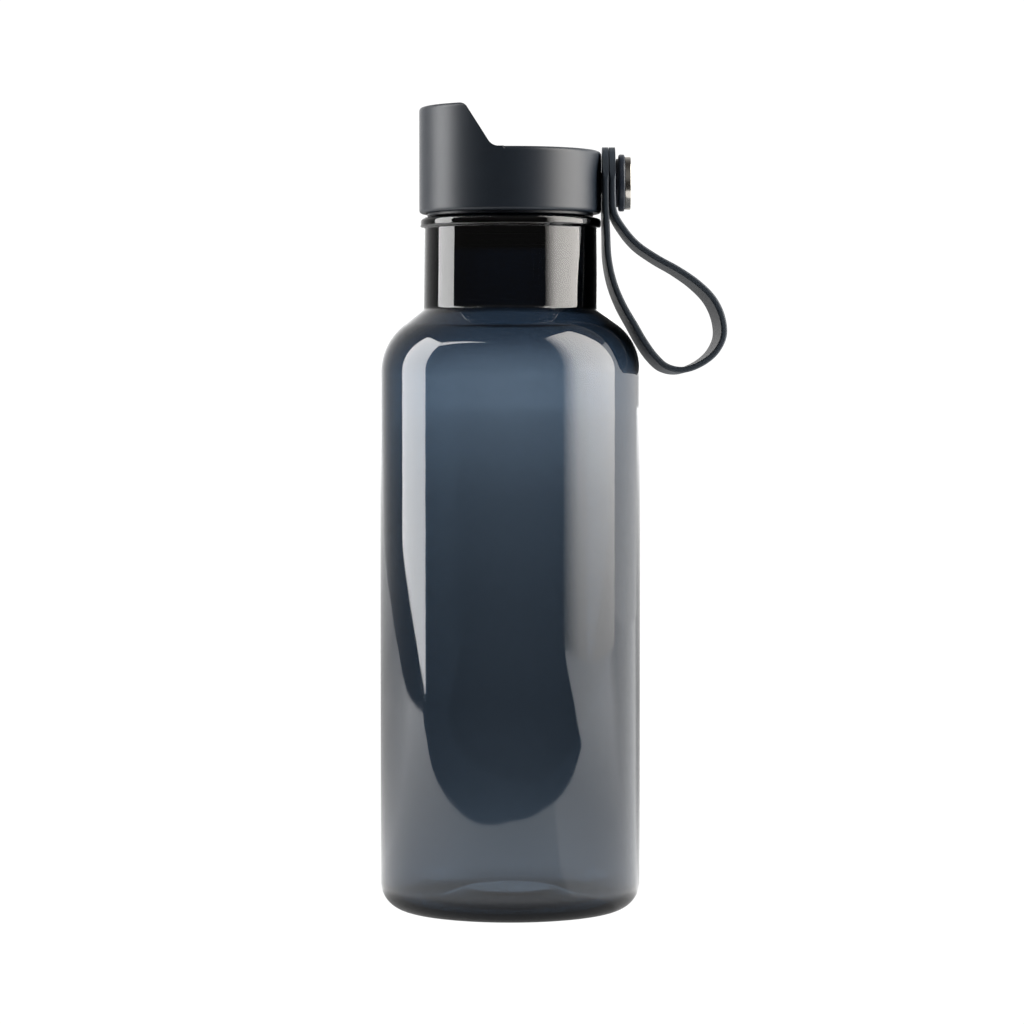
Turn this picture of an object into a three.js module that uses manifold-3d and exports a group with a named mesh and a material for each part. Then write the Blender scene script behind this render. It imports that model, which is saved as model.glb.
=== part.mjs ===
// A 600 ml sports bottle: a clear rigid body with a screw lid, a flip-up drinking flap and a
// silicone carry strap that hangs from a button on the side of the lid.
// Units are millimetres, +Z is up and the bottle stands on z = 0.

import * as THREE from 'three';
import { mergeVertices } from 'three/addons/utils/BufferGeometryUtils.js';
import Module from 'manifold-3d';

const wasm = await Module();
wasm.setup();

// ---------- driving dimensions ----------

const gap = 0.3; // between pieces that touch on the real bottle
const slack = 0.35; // between pieces that move past each other
const pinSlack = 0.25; // round a pin or screw in its hole
const overrun = 1; // how far a shape runs past a face before it is joined or cut
const fineRound = 0.3; // roundings, from the smallest pieces up to the lid's edges
const softRound = 0.6;
const edgeRound = 1;

// Bottle
const bodyRadius = 36.6;
const bodyWall = 1.2;
const baseFillet = 7.7;
const baseWall = 1.8;
const pushUpHeight = 4.4;
const pushUpFlat = 12.5; // radius of the flat middle of the pushed-up base
const pushUpRound = 8;
const standingRing = 25.5; // inner radius of the ring that touches the table
const footRound = 2;
const shoulderStart = 151.6; // height where the straight side ends
const shoulderArc = 17;
const shoulderSlope = THREE.MathUtils.degToRad(38);
const shoulderWall = 1.6;
const neckStep = 1.3; // how far the neck lies inside the lid's radius
const neckFlare = 0.3; // how much wider the neck is at its foot
const neckLength = 22.7;
const neckRound = 2; // where the neck's bore narrows to the mouth
const neckInsideRound = 4; // where the shoulder's inside meets the neck's
const boreTop = 2; // below the collar, where the bore starts to widen
const boreFoot = 6; // below the collar, where it is as wide as the neck
const neckWall = 3;
const collarHeight = 2.7;
const collarInset = 0.1; // how far the collar lies inside the lid's radius
const finishHeight = 11.2; // threaded mouth above the collar
const finishWall = 2.2;

// Screw thread, two starts
const threadStarts = 2;
const threadLead = 8;
const threadTurns = 0.9;
const threadDepth = 1;
const threadRoot = 1.9; // height of a rib where it leaves the wall
const threadTip = 0.9;
const threadFoot = 2.2; // from the collar to the middle of the first rib

// Lid
const lidRadius = 25.6;
const lidWall = 1.95;
const lidGap = 1.3; // between the collar and the lid's lower edge
const deckThickness = 3.9;
const linerWall = 1.15;
const linerPlate = 1.5;
const linerGap = 0.5; // between the collar and the liner's lower edge
const gasketThickness = 1.3;
const gasketWidth = 2;
const spoutHeight = 12.2; // above the deck
const spoutDepth = 12.9; // of its flat top
const spoutRamp = THREE.MathUtils.degToRad(57.8);
const spoutCeiling = 5.2; // from the spout's top down to its hollow
const spoutRampWall = 3.9;
const mouthSetback = 7; // from the lid's edge to the middle of the drinking hole
const mouthRadius = 3.5;
const ventOffset = 10; // from the bottle's axis
const ventRadius = 0.8; // of the air hole in the deck
const ventStem = 1.1; // radius of the valve's stem
const ventHead = 1.1; // height of the space over the liner for the valve's head
const ventLip = 0.8; // how far the head stands out from the stem
const ventSkirt = 0.7; // thickness
const airHoles = 3; // round the stem, under the skirt
const airHoleRadius = 0.4;
const airHoleOffset = 2.3; // from the stem's middle
const ventPocket = 3.2; // radius of the valve's skirt and of the space over it
const portMargin = 1.2; // from the liner's drinking port to the bottle's bore
const spoutFoot = 3.3; // rounding where the ramp meets the deck
const spoutBrow = 2.8; // rounding where the ramp meets the spout's top

// Drinking flap
const flapWidth = 14;
const flapThickness = 1.6;
const flapReach = 10.4; // of the cover plate, from the ramp's upper edge
const flapBarrel = 1.7; // radius
const flapFoot = 1.2; // from the hinge down to the flap's lower edge
const flapWeb = 1.1; // half the height of the web between barrel and flap
const flapWebBite = 0.5; // how far the web runs into the flap
const hingePinRadius = 0.75;
const hingePinLength = 19.8;
const hingeStandoff = 1.635; // from the ramp's surface out to the hinge pin
const hingeDrop = 0.9; // from the deck down to the hinge pin
const lugRadius = 1.8;
const lugWidth = 3.4;
const plugRadius = 4.4;
const plugThickness = 1.1;
const plugNub = 1.6;
const plugRoom = 0.8; // round the plug, as the flap swings it out

// Carry strap and its button
const strapWidth = 20;
const strapThickness = 1.7;
const strapDrop = 8.8; // from the deck down to the button's axis
const strapLean = Math.tan(THREE.MathUtils.degToRad(4.3)); // sideways lean where the loop is widest
const strapPitch = 0.3; // the tilt that goes with it, as a share of the lean
const postRadius = 3;
const buttonRadius = 8;
const buttonThickness = 1.6;
const capRadius = 7.5;
const capThickness = 1.6; // at its edge
const capCrown = 0.3;
const capRecess = 0.8; // over the screw's head
const screwRadius = 1;
const screwHeadRadius = 2.5;
const screwHeadThickness = 1.1;

// ---------- levels and radii that follow ----------

const lidInner = lidRadius - lidWall;
const linerOuter = lidInner - gap;
const linerInner = linerOuter - linerWall;
const finishRadius = linerInner - threadDepth - gap;
const boreRadius = finishRadius - finishWall;
const neckRadius = lidRadius - neckStep;
const neckFoot = neckRadius + neckFlare;
const collarRadius = lidRadius - collarInset;

const shoulderCorner = shoulderStart + shoulderArc * Math.tan((Math.PI / 2 - shoulderSlope) / 2);
const neckBase = shoulderCorner + (bodyRadius - neckFoot) * Math.tan(shoulderSlope);
const collarBottom = neckBase + neckLength;
const collarTop = collarBottom + collarHeight;
const rimTop = collarTop + finishHeight;
const gasketBottom = rimTop + gap;
const linerUnderside = gasketBottom + gasketThickness + gap;
const linerTop = linerUnderside + linerPlate;
const linerBottom = collarTop + linerGap;
const deckUnderside = linerTop + gap;
const deckTop = deckUnderside + deckThickness;
const lidBottom = collarTop + lidGap;
const spoutTop = deckTop + spoutHeight;

const chordX = spoutDepth - lidRadius; // upper edge of the ramp
const mouthX = mouthSetback - lidRadius;
const portX = mouthRadius + portMargin - boreRadius;
const hingeZ = deckTop - hingeDrop;
const hingeX = rampX(hingeZ, -hingeStandoff);
const flapInset = gap + flapThickness; // from the spout's surface down to the flap's underside
const channelInset = flapInset + slack;
const plugTop = spoutTop - flapInset - gap;
const plugSeat = plugTop - plugThickness - gap;

const strapAxis = deckTop - strapDrop;
const firstLayer = slack + strapThickness / 2; // from the lid to the middle of the strap's inner layer
const secondLayer = firstLayer + strapThickness + slack;
const postEnd = lidRadius + secondLayer + strapThickness / 2 + slack;
const buttonX = postEnd + gap;
const capX = buttonX + buttonThickness + gap;

// The ramp's x at a height, for a surface that lies some way inside it.
function rampX(z, inset = 0) {
  return chordX + (spoutTop - z) / Math.tan(spoutRamp) - inset / Math.sin(spoutRamp);
}

// ---------- materials ----------

function plain(color, roughness, metalness = 0) {
  return new THREE.MeshStandardMaterial({ color, roughness, metalness });
}

const tintedPlastic = plain(0x46586a, 0.08);
tintedPlastic.transparent = true;
tintedPlastic.opacity = 0.6;
const navyPlastic = plain(0x1c2530, 0.5);
const silicone = plain(0x1f2833, 0.75);
const sealSilicone = plain(0xb9bec2, 0.7);
const steel = plain(0xb8bbbf, 0.25, 1);

// ---------- shape helpers ----------

const roundSides = 40;
const smallSides = 20;
const smallest = 0.01; // slivers thinner than this are dropped

// A polyline through [x, y, radius] corners, with each corner that has a radius rounded off.
// Where two roundings don't fit on the side between them, both shrink.
function filleted(corners) {
  const at = corners.map(([x, y]) => new THREE.Vector2(x, y));
  const halfAngle = (i) => at[i - 1].clone().sub(at[i]).angleTo(at[i + 1].clone().sub(at[i])) / 2;
  const reach = corners.map(([, , radius], i) => (radius ? radius / Math.tan(halfAngle(i)) : 0));
  const fits = (i, j) => Math.min(1, (0.98 * at[i].distanceTo(at[j])) / (reach[i] + reach[j] || 1));
  return corners.flatMap((corner, i) => {
    if (!reach[i]) return [at[i]];
    const cut = reach[i] * Math.min(fits(i - 1, i), fits(i, i + 1));
    const back = at[i - 1].clone().sub(at[i]).normalize();
    const ahead = at[i + 1].clone().sub(at[i]).normalize();
    const centre = back.clone().add(ahead).normalize();
    centre.multiplyScalar(cut / Math.cos(halfAngle(i))).add(at[i]);
    const from = back.multiplyScalar(cut).add(at[i]).sub(centre);
    const to = ahead.multiplyScalar(cut).add(at[i]).sub(centre);
    const turn = Math.atan2(from.cross(to), from.dot(to));
    const steps = Math.ceil(1.3 * Math.sqrt(from.length()));
    return Array.from({ length: steps + 1 }, (_, k) =>
      from.clone().rotateAround(new THREE.Vector2(), (turn * k) / steps).add(centre),
    );
  });
}

// A closed three.js geometry as a manifold-3d solid.
function toSolid(geometry) {
  const bare = geometry.clone();
  bare.deleteAttribute('normal');
  bare.deleteAttribute('uv');
  const merged = mergeVertices(bare, 1e-4);
  const triangles = [];
  for (let i = 0; i < merged.index.count; i += 3) {
    const [a, b, c] = [0, 1, 2].map((k) => merged.index.getX(i + k));
    if (a !== b && b !== c && c !== a) triangles.push(a, b, c);
  }
  const vertProperties = merged.attributes.position.array;
  const triVerts = Uint32Array.from(triangles);
  return new wasm.Manifold(new wasm.Mesh({ numProp: 3, vertProperties, triVerts }));
}

function toGeometry(solid) {
  const { vertProperties, triVerts } = solid.simplify(smallest).getMesh();
  const geometry = new THREE.BufferGeometry();
  geometry.setAttribute('position', new THREE.BufferAttribute(vertProperties, 3));
  geometry.setIndex(new THREE.BufferAttribute(triVerts, 1));
  geometry.computeVertexNormals();
  return geometry;
}

// A turned solid about +Z, from [radius, z, fillet] corners listed anticlockwise.
function turned(corners, sides = roundSides) {
  const geometry = new THREE.LatheGeometry(filleted(corners), sides);
  return toSolid(geometry.rotateX(Math.PI / 2));
}

// The same about +X, on the button's axis, from [radius, x, fillet] corners.
function turnedAlongX(corners, sides = smallSides) {
  const geometry = new THREE.LatheGeometry(filleted(corners), sides);
  return toSolid(geometry.rotateZ(-Math.PI / 2)).translate([0, 0, strapAxis]);
}

// An outline with a hole on the axis closes on its first corner.
function closed(corners) {
  return [...corners, corners[0]];
}

// A plain upright cylinder, off to one side of the bottle's axis.
function upright(radius, x, bottom, top, sides = smallSides) {
  const outline = [[0, bottom], [radius, bottom], [radius, top], [0, top]];
  return turned(outline, sides).translate([x, 0, 0]);
}

// A plain cylinder along X, on the button's axis.
function sideways(radius, fromX, toX, sides = smallSides) {
  return turnedAlongX([[0, fromX], [radius, fromX], [radius, toX], [0, toX]], sides);
}

// A plain cylinder along Y, on the flap's hinge.
function across(radius, fromY, toY) {
  const geometry = new THREE.CylinderGeometry(radius, radius, toY - fromY, smallSides);
  return toSolid(geometry.translate(hingeX, (fromY + toY) / 2, hingeZ));
}

// An outline of [x, z, fillet] corners, pulled to a width along Y.
function slab(corners, width) {
  const shape = new THREE.Shape(filleted(closed(corners)).slice(0, -1));
  const geometry = new THREE.ExtrudeGeometry(shape, { depth: width, bevelEnabled: false });
  return toSolid(geometry.rotateX(Math.PI / 2).translate(0, width / 2, 0));
}

// A closed tube through rings of points, with flat ends.
function swept(rings) {
  const sides = rings[0].length;
  const last = (rings.length - 1) * sides;
  const triangles = [];
  for (let start = 0; start < last; start += sides) {
    for (let k = 0; k < sides; k++) {
      const a = start + k;
      const b = start + ((k + 1) % sides);
      triangles.push(a, b, a + sides, b, b + sides, a + sides);
    }
  }
  for (let k = 1; k < sides - 1; k++) {
    triangles.push(0, k + 1, k, last, last + k, last + k + 1);
  }
  const geometry = new THREE.BufferGeometry().setFromPoints(rings.flat());
  geometry.setIndex(triangles);
  return toSolid(geometry);
}

// ---------- screw thread ----------

// One helical rib, standing out from the wall at rootRadius as far as tipRadius.
function threadRib(rootRadius, tipRadius, startAngle, startZ) {
  const steps = 36;
  const sunk = rootRadius - Math.sign(tipRadius - rootRadius) * gap;
  const section = [
    [sunk, -threadRoot / 2],
    [tipRadius, -threadTip / 2],
    [tipRadius, threadTip / 2],
    [sunk, threadRoot / 2],
  ];
  if (tipRadius > rootRadius) section.reverse();
  const rings = [];
  for (let i = 0; i <= steps; i++) {
    const turns = (threadTurns * i) / steps;
    const angle = startAngle + 2 * Math.PI * (turns + 0.5 / roundSides); // between the wall's own edges
    const z = startZ + threadLead * turns;
    const [x, y] = [Math.cos(angle), Math.sin(angle)];
    rings.push(section.map(([radius, up]) => new THREE.Vector3(radius * x, radius * y, z + up)));
  }
  return swept(rings);
}

function withThread(solid, rootRadius, tipRadius, startZ) {
  let result = solid;
  for (let start = 0; start < threadStarts; start++) {
    result = result.add(threadRib(rootRadius, tipRadius, (2 * Math.PI * start) / threadStarts, startZ));
  }
  return result;
}

// ---------- pieces ----------

function bottleBody() {
  const innerRadius = bodyRadius - bodyWall;
  const neckInner = neckRadius - neckWall;
  const slopeStart = shoulderCorner - shoulderWall / Math.cos(shoulderSlope);
  const insideSlope = (radius) => slopeStart + (bodyRadius - radius) * Math.tan(shoulderSlope);
  const wall = turned([
    [0, pushUpHeight],
    [pushUpFlat, pushUpHeight, pushUpRound],
    [standingRing, 0, footRound],
    [bodyRadius, 0, baseFillet],
    [bodyRadius, shoulderCorner, shoulderArc],
    [neckFoot, neckBase, edgeRound],
    [neckRadius, collarBottom, fineRound],
    [collarRadius, collarBottom, edgeRound],
    [collarRadius, collarTop, edgeRound],
    [finishRadius, collarTop, fineRound],
    [finishRadius, rimTop, softRound],
    [boreRadius, rimTop, softRound],
    [boreRadius, collarBottom - boreTop, neckRound],
    [neckInner, collarBottom - boreFoot, neckRound],
    [neckInner, insideSlope(neckInner), neckInsideRound],
    [innerRadius, insideSlope(innerRadius), shoulderArc - bodyWall],
    [innerRadius, baseWall, baseFillet - bodyWall],
    [standingRing, baseWall, footRound],
    [pushUpFlat, pushUpHeight + baseWall, pushUpRound],
    [0, pushUpHeight + baseWall],
  ]);
  return withThread(wall, finishRadius, finishRadius + threadDepth, collarTop + threadFoot);
}

function lidShell() {
  const farX = -2 * lidRadius;
  const cup = turned([
    [0, deckUnderside],
    [lidInner, deckUnderside, softRound],
    [lidInner, lidBottom],
    [lidRadius, lidBottom, edgeRound],
    [lidRadius, deckTop, edgeRound],
    [0, deckTop],
  ]);
  const raised = slab(
    [
      [farX, deckTop - overrun],
      [rampX(deckTop) + spoutFoot, deckTop - overrun],
      [rampX(deckTop) + spoutFoot, deckTop],
      [rampX(deckTop), deckTop, spoutFoot],
      [chordX, spoutTop, spoutBrow],
      [farX, spoutTop],
    ],
    2 * (lidRadius + overrun),
  );
  const deckFoot = deckTop - 2 * overrun;
  const outside = turned([
    [0, deckFoot],
    [lidRadius, deckFoot],
    [lidRadius, spoutTop, edgeRound],
    [0, spoutTop],
  ]);

  const ceiling = spoutTop - spoutCeiling;
  const below = deckUnderside - overrun;
  const hollow = slab(
    [
      [farX, below],
      [rampX(below, spoutRampWall), below],
      [rampX(ceiling, spoutRampWall), ceiling, spoutBrow],
      [farX, ceiling],
    ],
    2 * lidRadius,
  );
  const inside = turned([[0, below], [lidInner, below], [lidInner, ceiling, edgeRound], [0, ceiling]]);

  // The channel that the flap lies in, and the pocket for its hinge barrel.
  const high = spoutTop + overrun;
  const channelZ = spoutTop - channelInset;
  const pocketFloor = hingeZ - flapBarrel - slack;
  const pocketEnd = hingeX + flapBarrel + slack;
  const channelEnd = chordX - flapReach - slack;
  const channel = slab(
    [
      [channelEnd, high],
      [channelEnd, channelZ],
      [rampX(channelZ, channelInset), channelZ, edgeRound],
      [rampX(pocketFloor, channelInset), pocketFloor, softRound],
      [pocketEnd, pocketFloor, flapBarrel + slack],
      [pocketEnd, high],
    ],
    flapWidth + 2 * slack,
  );

  const lugFrom = flapWidth / 2 + slack;
  const lugTo = lugFrom + lugWidth;
  const boreEnd = hingePinLength / 2 + gap;
  return cup
    .add(raised.intersect(outside))
    .add(across(lugRadius, lugFrom, lugTo))
    .add(across(lugRadius, -lugTo, -lugFrom))
    .add(sideways(postRadius, lidRadius - overrun, postEnd))
    .subtract(hollow.intersect(inside))
    .subtract(channel)
    .subtract(across(hingePinRadius + pinSlack, -boreEnd, boreEnd))
    .subtract(upright(plugRadius + plugRoom, mouthX, plugSeat, high))
    .subtract(upright(mouthRadius, mouthX, ceiling - overrun, high))
    .subtract(upright(ventRadius, ventOffset, below, high))
    .subtract(upright(ventPocket, ventOffset, below, deckUnderside + ventHead + slack))
    .subtract(sideways(screwRadius + pinSlack, lidRadius + overrun - slack, postEnd + overrun));
}

function lidLiner() {
  const cup = turned([
    [0, linerUnderside],
    [linerInner, linerUnderside, softRound],
    [linerInner, linerBottom],
    [linerOuter, linerBottom, fineRound],
    [linerOuter, linerTop, edgeRound],
    [0, linerTop],
  ]);
  const halfPitch = threadLead / threadStarts / 2;
  const firstRib = collarTop + threadFoot + halfPitch;
  const threaded = withThread(cup, linerInner, linerInner - threadDepth, firstRib);
  const drill = [linerUnderside - overrun, linerTop + overrun];
  let liner = threaded
    .subtract(upright(mouthRadius, portX, ...drill))
    .subtract(upright(ventStem + slack, ventOffset, ...drill));
  const airHole = upright(airHoleRadius, airHoleOffset, ...drill);
  for (let i = 0; i < airHoles; i++) {
    liner = liner.subtract(airHole.rotate([0, 0, (360 * i) / airHoles]).translate([ventOffset, 0, 0]));
  }
  return liner;
}

function lidGasket() {
  const middle = (boreRadius + finishRadius) / 2;
  const [inner, outer] = [middle - gasketWidth / 2, middle + gasketWidth / 2];
  const top = gasketBottom + gasketThickness;
  return turned(closed([[inner, gasketBottom], [outer, gasketBottom], [outer, top], [inner, top]]));
}

function ventValve() {
  const skirtTop = linerUnderside - gap;
  const headFoot = linerTop + gap;
  const headTop = headFoot + ventHead - gap;
  const valve = turned(
    [
      [0, skirtTop - ventSkirt],
      [ventPocket, skirtTop - ventSkirt, fineRound],
      [ventPocket, skirtTop],
      [ventStem, skirtTop],
      [ventStem, headFoot],
      [ventStem + ventLip, headFoot, fineRound],
      [ventStem, headTop, fineRound],
      [0, headTop],
    ],
    smallSides,
  );
  return valve.translate([ventOffset, 0, 0]);
}

function drinkFlap() {
  const end = chordX - flapReach;
  const foot = hingeZ - flapFoot;
  const band = slab(
    [
      [end, spoutTop - gap],
      [end, spoutTop - flapInset],
      [rampX(spoutTop - flapInset, flapInset), spoutTop - flapInset, softRound],
      [rampX(foot, flapInset), foot],
      [rampX(foot, gap), foot],
      [rampX(spoutTop - gap, gap), spoutTop - gap, spoutBrow - gap],
    ],
    flapWidth,
  );
  const webInset = flapInset - flapWebBite;
  const web = slab(
    [
      [rampX(hingeZ, webInset), hingeZ - flapWeb],
      [hingeX, hingeZ - flapWeb],
      [hingeX, hingeZ + flapWeb],
      [rampX(hingeZ + flapWeb, webInset), hingeZ + flapWeb],
    ],
    flapWidth,
  );
  return band
    .add(web)
    .add(across(flapBarrel, -flapWidth / 2, flapWidth / 2))
    .subtract(across(hingePinRadius + pinSlack, -flapWidth, flapWidth));
}

function flapPlug() {
  const bottom = plugTop - plugThickness;
  const nubRadius = plugRadius / 2;
  const plug = turned(
    [
      [0, bottom - plugNub],
      [nubRadius - fineRound, bottom - plugNub, softRound],
      [nubRadius, bottom],
      [plugRadius, bottom, fineRound],
      [plugRadius, plugTop],
      [0, plugTop],
    ],
    smallSides,
  );
  return plug.translate([mouthX, 0, 0]);
}

function hingePin() {
  return across(hingePinRadius, -hingePinLength / 2, hingePinLength / 2);
}

function buttonBase() {
  const seat = buttonX + buttonThickness - screwHeadThickness + gap;
  const end = buttonX + buttonThickness;
  return turnedAlongX(
    closed([
      [screwRadius + pinSlack, buttonX],
      [buttonRadius, buttonX, softRound],
      [buttonRadius, end, softRound],
      [screwHeadRadius + slack, end],
      [screwHeadRadius + slack, seat],
      [screwRadius + pinSlack, seat],
    ]),
    roundSides,
  );
}

function buttonScrew() {
  const headFoot = buttonX + buttonThickness - screwHeadThickness + 2 * gap;
  const headEnd = headFoot + screwHeadThickness;
  const tip = lidRadius + overrun;
  return turnedAlongX([
    [0, tip],
    [screwRadius, tip, fineRound],
    [screwRadius, headFoot],
    [screwHeadRadius, headFoot],
    [screwHeadRadius, headEnd, fineRound],
    [0, headEnd],
  ]);
}

function buttonCap() {
  const recess = capX + capRecess;
  const rim = capX + capThickness;
  return turnedAlongX(
    [
      [0, recess],
      [screwHeadRadius + slack, recess],
      [screwHeadRadius + slack, capX],
      [capRadius, capX, fineRound],
      [capRadius, rim, softRound],
      [0, rim + capCrown],
    ],
    roundSides,
  );
}

// A flat band folded into a hanging loop. Its two round ends lie one on the other on the post.
function carryStrap() {
  const stud = new THREE.Vector2(lidRadius, strapAxis);
  const shoulder = new THREE.Vector2(0, shoulderArc).rotateAround(new THREE.Vector2(), -Math.PI / 4);
  shoulder.add(new THREE.Vector2(bodyRadius - shoulderArc, shoulderStart));
  const end = strapWidth / 2 + overrun;
  // Points along the middle of the band: the share of the way from the stud down to the
  // shoulder that each belongs to, then how far outwards and how far up from there it lies.
  const route = [
    [0, firstLayer, end],
    [0, firstLayer, 0],
    [0, firstLayer, -7.2],
    [0.5, -1.75, 6.3],
    [0.5, -1.4, -1.2],
    [1, -3, 12.6],
    [1, -0.6, 6.6],
    [1, 2.6, 0.9],
    [1, 5.3, -3.8],
    [1, 8.3, -8],
    [1, 11.5, -10.8],
    [1, 15.8, -11.7],
    [1, 20.6, -10.2],
    [1, 25, -6.8],
    [1, 27.3, -2.2],
    [1, 26.9, 3],
    [1, 24.6, 8],
    [1, 20.5, 12.3],
    [1, 15, 16.2],
    [0.5, 12, -0.9],
    [0.5, 6.6, 2.9],
    [0.5, 2.9, 7.2],
    [0, secondLayer + 0.4, -8.8],
    [0, secondLayer, -4],
    [0, secondLayer, 0],
    [0, secondLayer, end],
  ].map(([share, out, up]) => {
    const from = stud.clone().lerp(shoulder, share);
    // The band hangs clear of the collar, however wide that is.
    return new THREE.Vector3(Math.max(from.x + out, collarRadius + firstLayer), 0, from.y + up);
  });
  const curve = new THREE.CatmullRomCurve3(route, false, 'centripetal');
  curve.arcLengthDivisions = 800;

  const half = strapThickness / 2;
  const side = strapWidth / 2;
  const edge = filleted(
    closed([
      [0, -half],
      [side, -half, softRound],
      [side, half, softRound],
      [-side, half, softRound],
      [-side, -half, softRound],
    ]),
  ).slice(1, -1);
  const stations = 72;
  const rings = [];
  for (let i = 0; i <= stations; i++) {
    const along = i / stations;
    const middle = curve.getPointAt(along);
    const tangent = curve.getTangentAt(along);
    // The loop leans over to one side, most where it is widest and not at all at the post.
    const lean = strapLean * Math.sin(Math.PI * along) ** 2;
    const acrossBand = new THREE.Vector3(-lean, 1, -strapPitch * lean).projectOnPlane(tangent).normalize();
    const outward = tangent.clone().cross(acrossBand);
    const offset = ({ x, y }) => acrossBand.clone().multiplyScalar(x).addScaledVector(outward, y);
    rings.push(edge.map((point) => offset(point).add(middle)));
  }

  const [fromX, toX] = [lidInner, capX];
  const squareEnds = slab(
    [
      [fromX, strapAxis],
      [toX, strapAxis],
      [toX, strapAxis + strapWidth],
      [fromX, strapAxis + strapWidth],
    ],
    2 * strapWidth,
  );
  const roundEnds = sideways(side, fromX - overrun, toX + overrun, roundSides);
  return swept(rings)
    .subtract(squareEnds.subtract(roundEnds))
    .subtract(sideways(postRadius + slack, fromX, toX));
}

// ---------- assembly ----------

const object = new THREE.Group();

function place(name, solid, material) {
  const mesh = new THREE.Mesh(toGeometry(solid), material);
  mesh.name = name;
  object.add(mesh);
}

place('bottle_body', bottleBody(), tintedPlastic);
place('lid_shell', lidShell(), navyPlastic);
place('lid_liner', lidLiner(), navyPlastic);
place('lid_gasket', lidGasket(), sealSilicone);
place('vent_valve', ventValve(), sealSilicone);
place('drink_flap', drinkFlap(), navyPlastic);
place('flap_plug', flapPlug(), sealSilicone);
place('hinge_pin', hingePin(), steel);
place('carry_strap', carryStrap(), silicone);
place('button_base', buttonBase(), navyPlastic);
place('button_screw', buttonScrew(), steel);
place('button_cap', buttonCap(), steel);

// The strap hangs out on one side, so the origin is under the middle of the whole outline.
const outline = new THREE.Box3().setFromObject(object);
object.position.x = -(outline.min.x + outline.max.x) / 2;

export default object;
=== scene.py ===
# The looks of a clear drinking bottle with a screw lid, a flip-up flap and a silicone carry strap.
# Every CAD piece is rebuilt finely in its own place and gets a procedural material.
# Sizes are in millimetres round the bottle's axis; fine_mesh() turns them into the frame's metres.

import math

import bmesh
import bpy
import numpy as np
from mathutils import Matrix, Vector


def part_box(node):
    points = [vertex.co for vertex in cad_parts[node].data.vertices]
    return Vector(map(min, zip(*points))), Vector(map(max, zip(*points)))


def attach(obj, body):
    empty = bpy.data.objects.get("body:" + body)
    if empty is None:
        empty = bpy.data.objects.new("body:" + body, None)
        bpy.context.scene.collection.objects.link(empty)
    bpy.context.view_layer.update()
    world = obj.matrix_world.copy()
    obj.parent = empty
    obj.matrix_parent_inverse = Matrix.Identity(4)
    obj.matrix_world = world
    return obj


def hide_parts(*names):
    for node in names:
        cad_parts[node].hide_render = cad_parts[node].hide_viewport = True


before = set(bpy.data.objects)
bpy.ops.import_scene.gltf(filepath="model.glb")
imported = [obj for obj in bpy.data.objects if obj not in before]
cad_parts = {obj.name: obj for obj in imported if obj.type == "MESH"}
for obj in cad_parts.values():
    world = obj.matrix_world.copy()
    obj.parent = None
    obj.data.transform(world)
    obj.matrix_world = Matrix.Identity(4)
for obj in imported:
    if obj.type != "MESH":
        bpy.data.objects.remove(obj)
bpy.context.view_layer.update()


# ---------- sizes read from the frame ----------


def box_mm(node):
    low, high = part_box(node)
    return np.array(low) * 1000, np.array(high) * 1000


body_low, body_high = box_mm("bottle_body")
shell_low, shell_high = box_mm("lid_shell")
liner_low, liner_high = box_mm("lid_liner")
gasket_low, gasket_high = box_mm("lid_gasket")
valve_low, valve_high = box_mm("vent_valve")
flap_low, flap_high = box_mm("drink_flap")
plug_low, plug_high = box_mm("flap_plug")
pin_low, pin_high = box_mm("hinge_pin")
base_low, base_high = box_mm("button_base")
screw_low, screw_high = box_mm("button_screw")
cap_low, cap_high = box_mm("button_cap")

AXIS_X = (body_low[0] + body_high[0]) / 2
BODY_RADIUS = body_high[1]
RIM_TOP = body_high[2]
LID_RADIUS = shell_high[1]
LID_BOTTOM = shell_low[2]
SPOUT_TOP = shell_high[2]
LINER_BOTTOM = liner_low[2]
LINER_TOP = liner_high[2]
MOUTH_X = (plug_low[0] + plug_high[0]) / 2 - AXIS_X
VENT_X = (valve_low[0] + valve_high[0]) / 2 - AXIS_X
HINGE_X = (pin_low[0] + pin_high[0]) / 2 - AXIS_X
HINGE_Z = (pin_low[2] + pin_high[2]) / 2
FLAP_WIDTH = flap_high[1] - flap_low[1]
STRAP_AXIS = (cap_low[2] + cap_high[2]) / 2
BUTTON_X = base_low[0] - AXIS_X
BUTTON_END = base_high[0] - AXIS_X
BUTTON_RADIUS = base_high[1]
CAP_X = cap_low[0] - AXIS_X
CAP_END = cap_high[0] - AXIS_X
CAP_RADIUS = cap_high[1]
POST_END = shell_high[0] - AXIS_X

# ---------- sizes the frame's boxes don't give ----------

GAP = 0.3
SLACK = 0.35
PIN_SLACK = 0.25
OVERRUN = 1.0  # how far a cutting or joining shape runs past the face it meets

# Roundings, from the crispest to the broadest
CRISP_ROUND = 0.1
FINE_ROUND = 0.2
SMALL_ROUND = 0.3
CORNER_ROUND = 0.4
BLUNT_ROUND = 0.5
SOFT_ROUND = 0.6
LIP_ROUND = 0.7
FULL_ROUND = 0.8
EDGE_ROUND = 1.0
BROAD_ROUND = 1.2

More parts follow.
